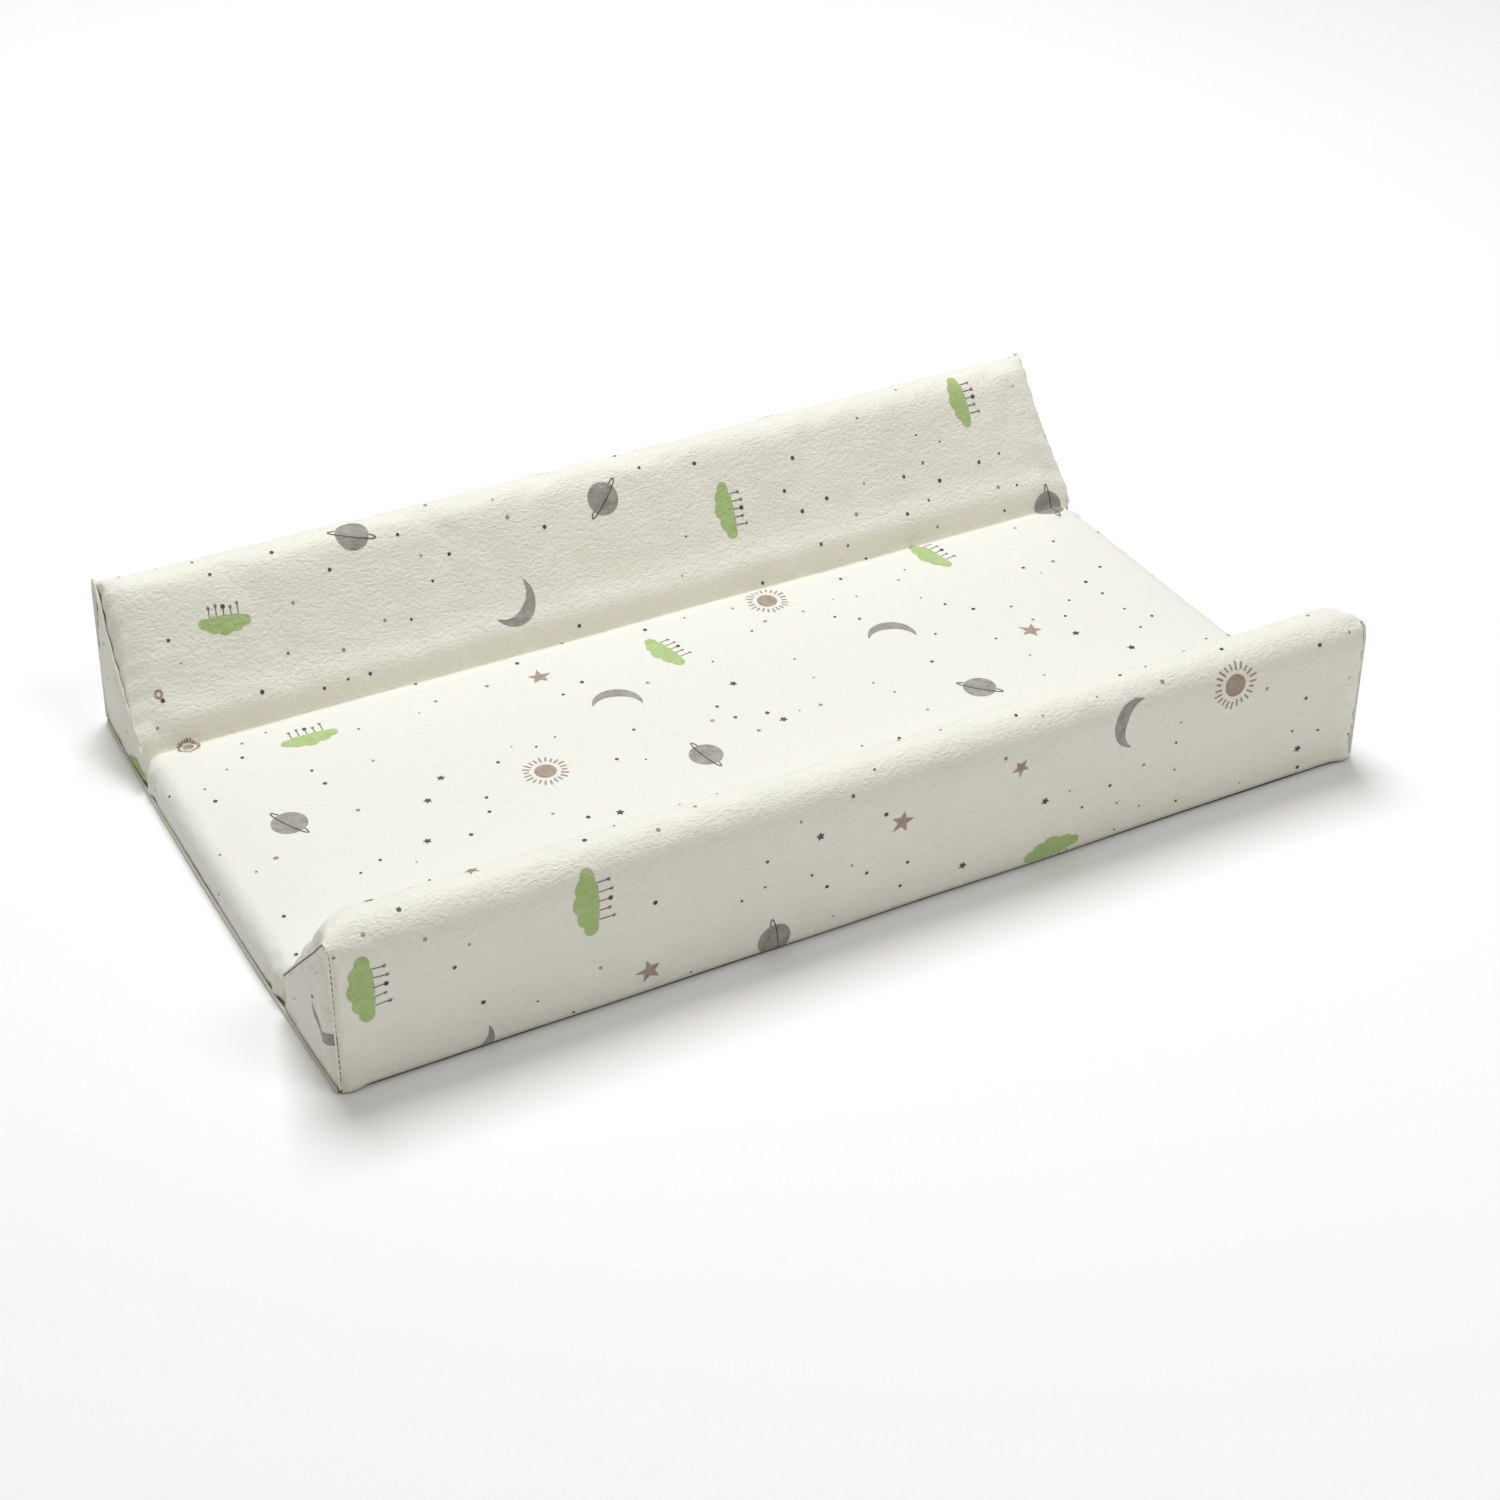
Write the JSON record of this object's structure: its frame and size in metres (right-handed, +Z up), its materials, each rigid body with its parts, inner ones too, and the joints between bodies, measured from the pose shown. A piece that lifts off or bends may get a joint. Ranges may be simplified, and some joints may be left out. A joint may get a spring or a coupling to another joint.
{
  "type": "changing pad",
  "caption": "Two-sided baby changing pad: a flat foam middle between two foam wedges on a stiff base, in a sewn, printed wipe-clean cover.",
  "frame": {"origin": "under the centre of the pad, on the surface that it rests on", "axes": "+X along the pad's length, +Y across it from the front wedge to the rear wedge, +Z up"},
  "size_m": [0.76, 0.45, 0.1159],
  "materials": {
    "printed_sheet": "pebbled coated fabric, soft satin, printed",
    "base_sheet": "plain coated fabric, matte",
    "foam": "open-cell foam",
    "hardboard": "smooth pressed fibre",
    "sewing_thread": "twisted polyester thread"
  },
  "bodies": {
    "root": {"base_cover": "base_sheet", "base_board": "hardboard", "middle_foam": "foam", "front_wedge_foam": "foam", "rear_wedge_foam": "foam", "top_cover": "printed_sheet", "front_left_gusset": "printed_sheet", "front_right_gusset": "printed_sheet", "rear_left_gusset": "printed_sheet", "rear_right_gusset": "printed_sheet", "front_left_slope_thread": "sewing_thread", "front_left_corner_thread": "sewing_thread", "front_right_slope_thread": "sewing_thread", "front_right_corner_thread": "sewing_thread", "rear_left_slope_thread": "sewing_thread", "rear_left_corner_thread": "sewing_thread", "rear_right_slope_thread": "sewing_thread", "rear_right_corner_thread": "sewing_thread"}
  },
  "joints": []
}
